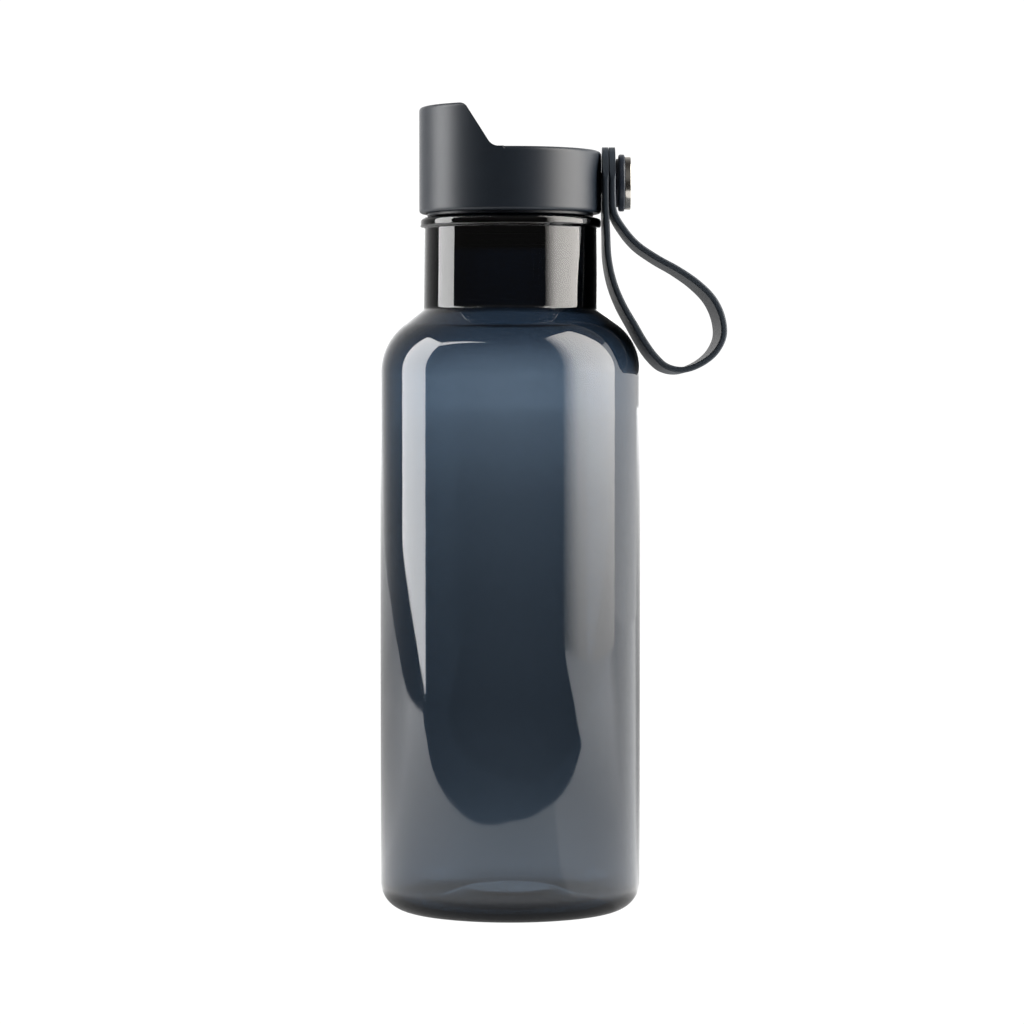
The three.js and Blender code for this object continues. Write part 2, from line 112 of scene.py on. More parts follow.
BODY_WALL = 1.2
BASE_FILLET = 7.7
BASE_WALL = 1.8
PUSH_UP_HEIGHT = 4.4
PUSH_UP_FLAT = 12.5
PUSH_UP_ROUND = 8.0
MARK_INNER = 3.6  # a round mark in the middle of the base
MARK_OUTER = 5.0
MARK_DEPTH = 0.6
STANDING_RING = 25.5
FOOT_ROUND = 2.0
FOOT_INSIDE_ROUND = 3.0
SHOULDER_START = 151.6
SHOULDER_ARC = 17.0
SHOULDER_SLOPE = math.radians(38)
SHOULDER_WALL = 1.6
NECK_STEP = 1.3
NECK_FLARE = 0.3
NECK_LENGTH = 22.7
NECK_WALL = 3.0
NECK_INSIDE_ROUND = 4.0
BORE_TOP = 2.0  # below the collar, where the bore starts to widen
BORE_FOOT = 6.0  # below the collar, where it is as wide as the neck
BORE_ROUND = 2.0
COLLAR_HEIGHT = 2.7
COLLAR_INSET = 0.1
FINISH_WALL = 2.2

THREAD_STARTS = 2
THREAD_LEAD = 8.0
THREAD_TURNS = 0.9
THREAD_DEPTH = 1.0
THREAD_ROOT = 1.9
THREAD_TIP = 0.9
THREAD_FOOT = 2.2
THREAD_STEPS = 120

LID_WALL = 1.95
DECK_THICKNESS = 3.9
LINER_WALL = 1.15
LINER_PLATE = 1.5
SPOUT_DEPTH = 12.9
SPOUT_RAMP = math.radians(57.8)
SPOUT_CEILING = 5.2
SPOUT_RAMP_WALL = 3.9
SPOUT_FOOT = 3.3
SPOUT_BROW = 2.8
HOLLOW_ROUND = 2.0
MOUTH_RADIUS = 3.5
VENT_RADIUS = 0.8
VENT_STEM = 1.1
VENT_HEAD = 1.1
VENT_POCKET = 3.2
VENT_LIP = 0.8
VENT_SKIRT = 0.7
AIR_HOLES = 3
AIR_HOLE_RADIUS = 0.4
AIR_HOLE_OFFSET = 2.3
PORT_MARGIN = 1.2
GASKET_WIDTH = 2.0
GASKET_GROOVE = 0.25
GASKET_GROOVE_HALF = 0.3
GASKET_GROOVE_ROUND = 0.15

FLAP_THICKNESS = 1.6
FLAP_REACH = 10.4
FLAP_BARREL = 1.7
FLAP_FOOT = 1.2  # from the hinge down to the flap's lower edge
FLAP_WEB = 1.1  # half the height of the web between barrel and flap
FLAP_WEB_BITE = 0.5
HINGE_PIN_RADIUS = 0.75
HINGE_PIN_LENGTH = 19.8
LUG_RADIUS = 1.8
LUG_WIDTH = 3.4
PLUG_RADIUS = 4.4
PLUG_THICKNESS = 1.1
PLUG_NUB = 1.6
PLUG_ROOM = 0.8

STRAP_WIDTH = 20.0
STRAP_THICKNESS = 1.7
STRAP_LEAN = math.tan(math.radians(4.3))
STRAP_PITCH = 0.3
STRAP_STATIONS = 289
PATH_STEPS = 60  # between two points of its route
DRAWN_GAP = 0.12  # taken off each side of the space behind the steel cap
LAYER_GAP = 0.2  # beside and between the strap's two layers
POST_RADIUS = 3.0
BUTTON_STEP = 0.62  # a narrower step behind the button, towards the strap
BUTTON_STEP_INSET = 1.2
SCREW_RADIUS = 1.0
SCREW_HEAD_RADIUS = 2.5
SCREW_HEAD_THICKNESS = 1.1
SCREW_HOLE_FLOOR = 0.5  # out from the lid's side
SOCKET_TOP = 1.2
SOCKET_FLOOR = 0.9
SOCKET_DEPTH = 0.6
CAP_RECESS = 0.8
CAP_CROWN = 0.3
CAP_RIM = 1.1
CAP_RIM_ROUND = 0.25

LINER_OUTER = LID_RADIUS - LID_WALL - GAP
LINER_INNER = LINER_OUTER - LINER_WALL
FINISH_RADIUS = LINER_INNER - THREAD_DEPTH - GAP
BORE_RADIUS = FINISH_RADIUS - FINISH_WALL
NECK_RADIUS = LID_RADIUS - NECK_STEP
NECK_FOOT = NECK_RADIUS + NECK_FLARE
COLLAR_RADIUS = LID_RADIUS - COLLAR_INSET
SHOULDER_CORNER = SHOULDER_START + SHOULDER_ARC * math.tan((math.pi / 2 - SHOULDER_SLOPE) / 2)
NECK_BASE = SHOULDER_CORNER + (BODY_RADIUS - NECK_FOOT) * math.tan(SHOULDER_SLOPE)
COLLAR_BOTTOM = NECK_BASE + NECK_LENGTH
COLLAR_TOP = COLLAR_BOTTOM + COLLAR_HEIGHT
LINER_UNDERSIDE = LINER_TOP - LINER_PLATE
DECK_UNDERSIDE = LINER_TOP + GAP
DECK_TOP = DECK_UNDERSIDE + DECK_THICKNESS
CHORD_X = SPOUT_DEPTH - LID_RADIUS
PORT_X = MOUTH_RADIUS + PORT_MARGIN - BORE_RADIUS
FLAP_INSET = GAP + FLAP_THICKNESS
CHANNEL_INSET = FLAP_INSET + SLACK
PLUG_TOP = SPOUT_TOP - FLAP_INSET - GAP
PLUG_SEAT = PLUG_TOP - PLUG_THICKNESS - GAP
FIRST_LAYER = LAYER_GAP + STRAP_THICKNESS / 2
SECOND_LAYER = FIRST_LAYER + STRAP_THICKNESS + LAYER_GAP


def ramp_x(z, inset=0.0):
    """The spout ramp's x at a height, for a surface that lies some way inside it."""
    return CHORD_X + (SPOUT_TOP - z) / math.tan(SPOUT_RAMP) - inset / math.sin(SPOUT_RAMP)


# ---------- mesh helpers ----------

FINE_SIDES = 160
SMALL_SIDES = 64
ARC_STEPS = 3  # a rounding's steps, for each radian and each root of its radius
FEWEST_STEPS = 4
EDGE_SHARE = 0.98  # of an edge, that the roundings at its two ends may take up


def filleted(corners):
    """A polyline through (x, y[, radius]) corners, with those that have a radius rounded off."""
    at = [np.array(corner[:2], float) for corner in corners]
    radii = [corner[2] if len(corner) > 2 else 0.0 for corner in corners]

    def half_angle(i):
        back, ahead = at[i - 1] - at[i], at[i + 1] - at[i]
        cosine = back @ ahead / (np.linalg.norm(back) * np.linalg.norm(ahead))
        return math.acos(max(-1.0, min(1.0, cosine))) / 2

    reach = [radius / math.tan(half_angle(i)) if radius else 0.0 for i, radius in enumerate(radii)]

    def fits(i, j):
        return min(1.0, EDGE_SHARE * np.linalg.norm(at[i] - at[j]) / ((reach[i] + reach[j]) or 1.0))

    points = []
    for i, corner in enumerate(at):
        if not reach[i]:
            points.append(corner)
            continue
        cut = reach[i] * min(fits(i - 1, i), fits(i, i + 1))
        back = (at[i - 1] - corner) / np.linalg.norm(at[i - 1] - corner)
        ahead = (at[i + 1] - corner) / np.linalg.norm(at[i + 1] - corner)
        middle = (back + ahead) / np.linalg.norm(back + ahead)
        centre = corner + middle * cut / math.cos(half_angle(i))
        start, end = corner + back * cut - centre, corner + ahead * cut - centre
        turn = math.atan2(start[0] * end[1] - start[1] * end[0], start @ end)
        steps = max(FEWEST_STEPS, math.ceil(ARC_STEPS * (math.sqrt(np.linalg.norm(start)) + abs(turn))))
        for k in range(steps + 1):
            c, s = math.cos(turn * k / steps), math.sin(turn * k / steps)
            points.append(centre + np.array([c * start[0] - s * start[1], s * start[0] + c * start[1]]))
    return points


def closed(corners):
    return [*corners, corners[0]]


def fine_mesh(name, points, faces):
    """An object from points in millimetres round the bottle's axis, with its faces turned outwards."""
    mesh = bpy.data.meshes.new(name)
    placed = (np.array(points, float) + [AXIS_X, 0, 0]) / 1000
    mesh.from_pydata(placed.tolist(), [], faces)
    shape = bmesh.new()
    shape.from_mesh(mesh)
    bmesh.ops.remove_doubles(shape, verts=shape.verts, dist=1e-7)
    bmesh.ops.recalc_face_normals(shape, faces=shape.faces)
    shape.to_mesh(mesh)
    shape.free()
    obj = bpy.data.objects.new(name, mesh)
    bpy.context.scene.collection.objects.link(obj)
    return obj


def lathed(name, corners, sides=FINE_SIDES, centre=(0, 0, 0), along="z"):
    """A turned solid from (radius, height) corners, about an axis along Z or X through centre."""
    profile = filleted(corners)
    points, rings, faces = [], [], []
    for radius, height in profile:
        count = sides if radius > 1e-9 else 1
        rings.append((len(points), count))
        for k in range(count):
            angle = 2 * math.pi * k / sides
            a, b = radius * math.cos(angle), radius * math.sin(angle)
            spot = (a, b, height) if along == "z" else (height, a, b)
            points.append([spot[i] + centre[i] for i in range(3)])
    for (first, n), (second, m) in zip(rings, rings[1:]):
        for k in range(sides):
            nxt = (k + 1) % sides
            face = [first + k % n, first + nxt % n, second + nxt % m, second + k % m]
            faces.append(list(dict.fromkeys(face)))
    faces = [face for face in faces if len(face) > 2]
    return fine_mesh(name, points, faces)


def upright(radius, x, bottom, top):
    corners = [(0, bottom), (radius, bottom), (radius, top), (0, top)]
    return lathed("tool", corners, SMALL_SIDES, (x, 0, 0))


def sideways(radius, from_x, to_x):
    corners = [(0, from_x), (radius, from_x), (radius, to_x), (0, to_x)]
    return lathed("tool", corners, SMALL_SIDES, (0, 0, STRAP_AXIS), "x")


def across(name, radius, from_y, to_y, edge=0.0):
    """A cylinder along Y on the flap's hinge, its ends rounded by edge."""
    outline = filleted([(0, from_y), (radius, from_y, edge), (radius, to_y, edge), (0, to_y)])
    points, faces = [], []
    for distance, y in outline:
        for k in range(SMALL_SIDES):
            angle = 2 * math.pi * k / SMALL_SIDES
            points.append((HINGE_X + distance * math.cos(angle), y, HINGE_Z + distance * math.sin(angle)))
    for ring in range(len(outline) - 1):
        for k in range(SMALL_SIDES):
            a, b = ring * SMALL_SIDES + k, ring * SMALL_SIDES + (k + 1) % SMALL_SIDES
            faces.append((a, b, b + SMALL_SIDES, a + SMALL_SIDES))
    return fine_mesh(name, points, faces)


def slab(name, corners, width):
    """An outline of (x, z) corners, pulled to a width along Y."""
    outline = filleted(closed(corners))[:-1]
    count = len(outline)
    points = [(x, y, z) for y in (-width / 2, width / 2) for x, z in outline]
    faces = [list(range(count)), list(range(2 * count - 1, count - 1, -1))]
    faces += [(k, (k + 1) % count, (k + 1) % count + count, k + count) for k in range(count)]
    return fine_mesh(name, points, faces)


def swept(name, rings):
    """A closed tube through rings of points, with flat ends."""
    sides, last = len(rings[0]), (len(rings) - 1) * len(rings[0])
    faces = [list(range(sides)), list(range(last + sides - 1, last - 1, -1))]
    for start in range(0, last, sides):
        for k in range(sides):
            a, b = start + k, start + (k + 1) % sides
            faces.append((a, b, b + sides, a + sides))
    return fine_mesh(name, [point for ring in rings for point in ring], faces)


def carve(piece, operation, *tools):
    """Adds the tools to a piece, cuts them out of it or keeps what they share, for good."""
    for tool in tools:
        step = piece.modifiers.new("carve", "BOOLEAN")
        step.operation = operation
        step.object = tool
        step.solver = "MANIFOLD"
    depsgraph = bpy.context.evaluated_depsgraph_get()
    result = bpy.data.meshes.new_from_object(piece.evaluated_get(depsgraph))
    piece.modifiers.clear()
    piece.data = result
    for tool in tools:
        bpy.data.objects.remove(tool)
    return piece


def finished(piece, material, body, node, sharp=35):
    """Smooth shading, the material, and the piece's place in the frame."""
    piece.data.shade_smooth()
    piece.data.set_sharp_from_angle(angle=math.radians(sharp))
    normals = piece.modifiers.new("even normals", "WEIGHTED_NORMAL")
    normals.keep_sharp = True
    piece.data.materials.clear()
    piece.data.materials.append(material)
    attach(piece, body)
    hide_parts(node)


# ---------- material helpers ----------


class Nodes:
    """A material's or world's node tree, with short ways to add and link nodes."""

    def __init__(self, tree):
        self.tree = tree

    def add(self, kind, inputs=(), **settings):
        node = self.tree.nodes.new(kind)
        for key, value in settings.items():
            setattr(node, key, value)
        for socket, value in dict(inputs).items():
            if isinstance(value, bpy.types.NodeSocket):
                self.link(value, node.inputs[socket])
            else:
                node.inputs[socket].default_value = value
        return node

    def link(self, source, target):
        self.tree.links.new(source, target)

    def math(self, operation, a, b=0.0):
        return self.add("ShaderNodeMath", {0: a, 1: b}, operation=operation).outputs[0]

    def between(self, value, source, target, **settings):
        """A value carried from one range to another."""
        inputs = {"Value": value}
        inputs["From Min"], inputs["From Max"] = source
        inputs["To Min"], inputs["To Max"] = target
        return self.add("ShaderNodeMapRange", inputs, **settings).outputs["Result"]

    def noise(self, place, scale, detail):
        inputs = {"Vector": place, "Scale": scale, "Detail": detail}
        return self.add("ShaderNodeTexNoise", inputs).outputs["Fac"]

    def ramp(self, factor, stops):
        node = self.add("ShaderNodeValToRGB", {0: factor})
        elements = node.color_ramp.elements
        while len(elements) < len(stops):
            elements.new(0.5)
        for element, (place, colour) in zip(elements, stops):
            element.position = place
            element.color = (*colour, 1.0)
        return node.outputs["Color"]

    def fade(self, factor, stops):
        """A ramp of plain levels."""
        return self.ramp(factor, [(place, (level,) * 3) for place, level in stops])


def surface(name):
    """A new material with its nodes, its shader and the place on the object."""
    material = bpy.data.materials.new(name)
    material.use_nodes = True
    nodes = Nodes(material.node_tree)
    place = nodes.add("ShaderNodeTexCoord").outputs["Object"]
    return material, nodes, material.node_tree.nodes["Principled BSDF"], place


NOISE_SPREAD = (0.3, 0.7)  # where most of a noise texture's values lie
DRIFT_SCALE = 90.0
ROUGHNESS_SPREAD = 0.04


def plastic(name, colour, roughness, texture_mm, depth_mm, edge_mm=0.0, variation=0.06, settings=()):
    """A moulded material: a base colour that drifts a little, an even grain, and softened edges."""
    material, nodes, shader, place = surface(name)
    for socket, value in dict(settings).items():
        shader.inputs[socket].default_value = value
    drift = nodes.noise(place, DRIFT_SCALE, 3.0)
    darker = tuple(channel * (1 - variation) for channel in colour)
    lighter = tuple(channel * (1 + variation) for channel in colour)
    tint = nodes.ramp(drift, list(zip(NOISE_SPREAD, (darker, lighter))))
    nodes.link(tint, shader.inputs["Base Color"])
    grain = nodes.noise(place, 1000 / texture_mm, 2.0)
    spread = (roughness - ROUGHNESS_SPREAD, roughness + ROUGHNESS_SPREAD)
    nodes.link(nodes.between(grain, NOISE_SPREAD, spread), shader.inputs["Roughness"])
    bump = nodes.add("ShaderNodeBump", {"Strength": 1.0, "Distance": depth_mm / 1000, "Height": grain})
    if edge_mm:
        edges = nodes.add("ShaderNodeBevel", {"Radius": edge_mm / 1000}, samples=4)
        nodes.link(edges.outputs["Normal"], bump.inputs["Normal"])
    nodes.link(bump.outputs["Normal"], shader.inputs["Normal"])
    return material


# ---------- materials ----------

lid_plastic = plastic("lid_plastic", (0.0095, 0.0145, 0.0225), 0.4, 0.35, 0.006, 0.5)
liner_plastic = plastic("liner_plastic", (0.010, 0.013, 0.019), 0.38, 0.5, 0.004, 0.2)
button_plastic = plastic("button_plastic", (0.013, 0.019, 0.032), 0.42, 0.35, 0.005, 0.2)
strap_silicone = plastic("strap_silicone", (0.014, 0.022, 0.033), 0.54, 0.3, 0.004)
seal_silicone = plastic(
    "seal_silicone", (0.62, 0.66, 0.68), 0.5, 0.6, 0.01,
    settings={"Subsurface Weight": 0.4, "Subsurface Radius": (0.004, 0.004, 0.004)},
)


def clear_plastic():
    """Glossy tinted copolyester: clear all through, and darker where the wall is thicker."""
    material, nodes, shader, place = surface("clear_plastic")
    shader.inputs["Base Color"].default_value = (1, 1, 1, 1)
    shader.inputs["Transmission Weight"].default_value = 1.0
    shader.inputs["IOR"].default_value = 1.57
    flow = nodes.noise(place, 45.0, 1.0)
    nodes.link(nodes.between(flow, NOISE_SPREAD, (0.02, 0.035)), shader.inputs["Roughness"])
    bump = nodes.add("ShaderNodeBump", {"Strength": 1.0, "Distance": 0.00002, "Height": flow})
    nodes.link(bump.outputs["Normal"], shader.inputs["Normal"])
    tint = nodes.add("ShaderNodeVolumeAbsorption", {"Color": (0.0, 0.115, 0.225, 1), "Density": 1320.0})
    nodes.link(tint.outputs["Volume"], material.node_tree.nodes["Material Output"].inputs["Volume"])
    return material


def turned_steel(name, roughness, ring_scale, depth_mm):
    """Stainless steel with fine rings from turning about the button's axis."""
    material, nodes, shader, place = surface(name)
    shader.inputs["Metallic"].default_value = 1.0
    centred = nodes.add(
        "ShaderNodeMapping", {"Vector": place, "Location": (0, 0, -STRAP_AXIS / 1000)}
    ).outputs["Vector"]
    rings = nodes.add(
        "ShaderNodeTexWave",
        {"Vector": centred, "Scale": ring_scale, "Distortion": 0.4, "Detail": 2.0, "Detail Scale": 3.0},
        wave_type="RINGS", rings_direction="X",
    ).outputs["Fac"]
    tint = nodes.ramp(rings, [(0.0, (0.56, 0.52, 0.47)), (1.0, (0.68, 0.65, 0.60))])
    nodes.link(tint, shader.inputs["Base Color"])
    rough = nodes.between(rings, (0.0, 1.0), (roughness - 0.03, roughness + 0.03))
    nodes.link(rough, shader.inputs["Roughness"])
    bump = nodes.add("ShaderNodeBump", {"Strength": 1.0, "Distance": depth_mm / 1000, "Height": rings})
    nodes.link(bump.outputs["Normal"], shader.inputs["Normal"])
    return material


bottle_plastic = clear_plastic()
cap_steel = turned_steel("cap_steel", 0.2, 200.0, 0.001)
pin_steel = turned_steel("pin_steel", 0.28, 250.0, 0.002)


# ---------- screw thread ----------


def thread_rib(root_radius, tip_radius, start_angle, start_z):
    """One helical rib, standing out from the wall at root_radius as far as tip_radius."""
    sunk = root_radius - math.copysign(GAP, tip_radius - root_radius)
    section = [
        (sunk, -THREAD_ROOT / 2),
        (tip_radius, -THREAD_TIP / 2),
        (tip_radius, THREAD_TIP / 2),
        (sunk, THREAD_ROOT / 2),
    ]
    rings = []
    for i in range(THREAD_STEPS + 1):
        turns = THREAD_TURNS * i / THREAD_STEPS
        angle = start_angle + 2 * math.pi * turns
        z = start_z + THREAD_LEAD * turns
        rings.append([(r * math.cos(angle), r * math.sin(angle), z + dz) for r, dz in section])
    return swept("tool", rings)


def threads(root_radius, tip_radius, start_z):
    starts = [2 * math.pi * start / THREAD_STARTS for start in range(THREAD_STARTS)]
    return [thread_rib(root_radius, tip_radius, angle, start_z) for angle in starts]


# ---------- pieces ----------


def make_bottle():
    inner_radius = BODY_RADIUS - BODY_WALL
    neck_inner = NECK_RADIUS - NECK_WALL

    def inside_slope(radius):
        rise = (BODY_RADIUS - radius) * math.tan(SHOULDER_SLOPE)
        return SHOULDER_CORNER + rise - SHOULDER_WALL / math.cos(SHOULDER_SLOPE)

    wall = lathed("bottle", [
        (0, PUSH_UP_HEIGHT + MARK_DEPTH),
        (MARK_INNER, PUSH_UP_HEIGHT + MARK_DEPTH, EDGE_ROUND),
        (MARK_OUTER, PUSH_UP_HEIGHT, EDGE_ROUND),
        (PUSH_UP_FLAT, PUSH_UP_HEIGHT, PUSH_UP_ROUND),
        (STANDING_RING, 0, FOOT_ROUND),
        (BODY_RADIUS, 0, BASE_FILLET),
        (BODY_RADIUS, SHOULDER_CORNER, SHOULDER_ARC),
        (NECK_FOOT, NECK_BASE, BROAD_ROUND),
        (NECK_RADIUS, COLLAR_BOTTOM, CORNER_ROUND),
        (COLLAR_RADIUS, COLLAR_BOTTOM, EDGE_ROUND),
        (COLLAR_RADIUS, COLLAR_TOP, EDGE_ROUND),
        (FINISH_RADIUS, COLLAR_TOP, CORNER_ROUND),
        (FINISH_RADIUS, RIM_TOP, LIP_ROUND),
        (BORE_RADIUS, RIM_TOP, LIP_ROUND),
        (BORE_RADIUS, COLLAR_BOTTOM - BORE_TOP, BORE_ROUND),
        (neck_inner, COLLAR_BOTTOM - BORE_FOOT, BORE_ROUND),
        (neck_inner, inside_slope(neck_inner), NECK_INSIDE_ROUND),
        (inner_radius, inside_slope(inner_radius), SHOULDER_ARC - BODY_WALL),
        (inner_radius, BASE_WALL, BASE_FILLET - BODY_WALL),
        (STANDING_RING, BASE_WALL, FOOT_INSIDE_ROUND),
        (PUSH_UP_FLAT, PUSH_UP_HEIGHT + BASE_WALL, PUSH_UP_ROUND),
        (0, PUSH_UP_HEIGHT + BASE_WALL),
    ])
    carve(wall, "UNION", *threads(FINISH_RADIUS, FINISH_RADIUS + THREAD_DEPTH, COLLAR_TOP + THREAD_FOOT))
    finished(wall, bottle_plastic, "bottle", "bottle_body")


def make_lid_shell():
    far_x = -2 * LID_RADIUS
    lid_inner = LID_RADIUS - LID_WALL
    shell = lathed("lid", [
        (0, DECK_UNDERSIDE),
        (lid_inner, DECK_UNDERSIDE, SOFT_ROUND),
        (lid_inner, LID_BOTTOM, SMALL_ROUND),
        (LID_RADIUS, LID_BOTTOM, EDGE_ROUND),
        (LID_RADIUS, DECK_TOP, BROAD_ROUND),
        (0, DECK_TOP),
    ])
    foot_x = ramp_x(DECK_TOP) + SPOUT_FOOT
    raised = slab("tool", [
        (far_x, DECK_TOP - OVERRUN),
        (foot_x, DECK_TOP - OVERRUN),
        (foot_x, DECK_TOP),
        (ramp_x(DECK_TOP), DECK_TOP, SPOUT_FOOT),
        (CHORD_X, SPOUT_TOP, SPOUT_BROW),
        (far_x, SPOUT_TOP),
    ], 2 * (LID_RADIUS + OVERRUN))
    outside = lathed("tool", [
        (0, DECK_TOP - 2 * OVERRUN),
        (LID_RADIUS, DECK_TOP - 2 * OVERRUN),
        (LID_RADIUS, SPOUT_TOP, EDGE_ROUND),
        (0, SPOUT_TOP),
    ])
    carve(raised, "INTERSECT", outside)

    ceiling = SPOUT_TOP - SPOUT_CEILING
    below, high = DECK_UNDERSIDE - OVERRUN, SPOUT_TOP + OVERRUN
    hollow = slab("tool", [
        (far_x, below),
        (ramp_x(below, SPOUT_RAMP_WALL), below),
        (ramp_x(ceiling, SPOUT_RAMP_WALL), ceiling, HOLLOW_ROUND),
        (far_x, ceiling),
    ], 2 * LID_RADIUS)
    inside = lathed("tool", [
        (0, below - OVERRUN),
        (lid_inner, below - OVERRUN),
        (lid_inner, ceiling, EDGE_ROUND),
        (0, ceiling),
    ])
    carve(hollow, "INTERSECT", inside)

    channel_z = SPOUT_TOP - CHANNEL_INSET
    pocket_floor = HINGE_Z - FLAP_BARREL - SLACK
    pocket_end = HINGE_X + FLAP_BARREL + SLACK
    channel_end = CHORD_X - FLAP_REACH - SLACK
    channel = slab("tool", [
        (channel_end, high),
        (channel_end, channel_z, FINE_ROUND),
        (ramp_x(channel_z, CHANNEL_INSET), channel_z, EDGE_ROUND),
        (ramp_x(pocket_floor, CHANNEL_INSET), pocket_floor, BLUNT_ROUND),
        (pocket_end, pocket_floor, FLAP_BARREL + SLACK),
        (pocket_end, high),
    ], FLAP_WIDTH + 2 * SLACK)

    lug_from = FLAP_WIDTH / 2 + SLACK
    lug_to = lug_from + LUG_WIDTH
    bore_end = HINGE_PIN_LENGTH / 2 + GAP
    carve(
        shell, "UNION", raised,
        across("tool", LUG_RADIUS, lug_from, lug_to),
        across("tool", LUG_RADIUS, -lug_to, -lug_from),
        sideways(POST_RADIUS, LID_RADIUS - OVERRUN, POST_END),
    )
    carve(
        shell, "DIFFERENCE", hollow, channel,
        across("tool", HINGE_PIN_RADIUS + PIN_SLACK, -bore_end, bore_end),
        upright(PLUG_RADIUS + PLUG_ROOM, MOUTH_X, PLUG_SEAT, high),
        upright(MOUTH_RADIUS, MOUTH_X, ceiling - OVERRUN, high),
        upright(VENT_RADIUS, VENT_X, below, high),
        upright(VENT_POCKET, VENT_X, below, DECK_UNDERSIDE + VENT_HEAD + SLACK),
        sideways(SCREW_RADIUS + PIN_SLACK, LID_RADIUS + SCREW_HOLE_FLOOR, POST_END + OVERRUN),
    )
    finished(shell, lid_plastic, "lid", "lid_shell")


def make_liner():
    liner = lathed("liner", [
        (0, LINER_UNDERSIDE),
        (LINER_INNER, LINER_UNDERSIDE, SOFT_ROUND),
        (LINER_INNER, LINER_BOTTOM, FINE_ROUND),
        (LINER_OUTER, LINER_BOTTOM, SMALL_ROUND),
        (LINER_OUTER, LINER_TOP, FULL_ROUND),
        (0, LINER_TOP),
    ])
    half_pitch = THREAD_LEAD / THREAD_STARTS / 2
    ribs = threads(LINER_INNER, LINER_INNER - THREAD_DEPTH, COLLAR_TOP + THREAD_FOOT + half_pitch)
    carve(liner, "UNION", *ribs)
    below, above = LINER_UNDERSIDE - OVERRUN, LINER_TOP + OVERRUN
    holes = [
        upright(MOUTH_RADIUS, PORT_X, below, above),
        upright(VENT_STEM + SLACK, VENT_X, below, above),
    ]
    for i in range(AIR_HOLES):
        angle = 2 * math.pi * i / AIR_HOLES
        hole = upright(AIR_HOLE_RADIUS, VENT_X + AIR_HOLE_OFFSET * math.cos(angle), below, above)
        hole.location.y = AIR_HOLE_OFFSET * math.sin(angle) / 1000
        holes.append(hole)
    carve(liner, "DIFFERENCE", *holes)
    finished(liner, liner_plastic, "lid", "lid_liner")


def make_gasket():
    outer, bottom, top = gasket_high[1], gasket_low[2], gasket_high[2]
    inner = outer - GASKET_WIDTH
    middle = (inner + outer) / 2
    gasket = lathed("gasket", closed([
        (inner, (bottom + top) / 2),
        (inner, bottom, CORNER_ROUND),
        (outer, bottom, CORNER_ROUND),
        (outer, top, CORNER_ROUND),
        (middle + GASKET_GROOVE_HALF, top, CRISP_ROUND),
        (middle, top - GASKET_GROOVE, GASKET_GROOVE_ROUND),
        (middle - GASKET_GROOVE_HALF, top, CRISP_ROUND),
        (inner, top, CORNER_ROUND),
    ]))
    finished(gasket, seal_silicone, "seal_ring", "lid_gasket")


def make_valve():
    skirt_top = LINER_UNDERSIDE - GAP
    head_foot = LINER_TOP + GAP
    head_top = head_foot + VENT_HEAD - GAP
    valve = lathed("valve", [
        (0, skirt_top - VENT_SKIRT),
        (VENT_POCKET, skirt_top - VENT_SKIRT, SMALL_ROUND),
        (VENT_POCKET, skirt_top, CRISP_ROUND),
        (VENT_STEM, skirt_top, FINE_ROUND),
        (VENT_STEM, head_foot, CRISP_ROUND),
        (VENT_STEM + VENT_LIP, head_foot, SMALL_ROUND),
        (VENT_STEM, head_top, SMALL_ROUND),
        (0, head_top),
    ], SMALL_SIDES, (VENT_X, 0, 0))
    finished(valve, seal_silicone, "lid", "vent_valve")


def make_flap():
    end = CHORD_X - FLAP_REACH
    foot = HINGE_Z - FLAP_FOOT
    under = SPOUT_TOP - FLAP_INSET
    over = SPOUT_TOP - GAP
    flap = slab("flap", [
        (end, over),
        (end, under),
        (ramp_x(under, FLAP_INSET), under, FULL_ROUND),
        (ramp_x(foot, FLAP_INSET), foot),
        (ramp_x(foot, GAP), foot),
        (ramp_x(over, GAP), over, SPOUT_BROW - GAP),
    ], FLAP_WIDTH)
    web_inset = FLAP_INSET - FLAP_WEB_BITE
    web = slab("tool", [
        (ramp_x(HINGE_Z, web_inset), HINGE_Z - FLAP_WEB),
        (HINGE_X, HINGE_Z - FLAP_WEB),
        (HINGE_X, HINGE_Z + FLAP_WEB),
        (ramp_x(HINGE_Z + FLAP_WEB, web_inset), HINGE_Z + FLAP_WEB),
    ], FLAP_WIDTH)
    barrel = across("tool", FLAP_BARREL, -FLAP_WIDTH / 2, FLAP_WIDTH / 2)
    carve(flap, "UNION", web, barrel)
    carve(flap, "DIFFERENCE", across("tool", HINGE_PIN_RADIUS + PIN_SLACK, -FLAP_WIDTH, FLAP_WIDTH))
    finished(flap, lid_plastic, "flap", "drink_flap")


def make_plug():
    bottom = PLUG_TOP - PLUG_THICKNESS
    nub_radius = PLUG_RADIUS / 2
    plug = lathed("plug", [
        (0, bottom - PLUG_NUB),
        (nub_radius - CORNER_ROUND, bottom - PLUG_NUB, BLUNT_ROUND),
        (nub_radius, bottom, FINE_ROUND),
        (PLUG_RADIUS, bottom, SMALL_ROUND),
        (PLUG_RADIUS, PLUG_TOP, FINE_ROUND),
        (0, PLUG_TOP),
    ], SMALL_SIDES, (MOUTH_X, 0, 0))
    finished(plug, seal_silicone, "flap", "flap_plug")


def make_hinge_pin():
    half = HINGE_PIN_LENGTH / 2
    pin = across("pin", HINGE_PIN_RADIUS, -half, half, FINE_ROUND)
    finished(pin, pin_steel, "lid", "hinge_pin")


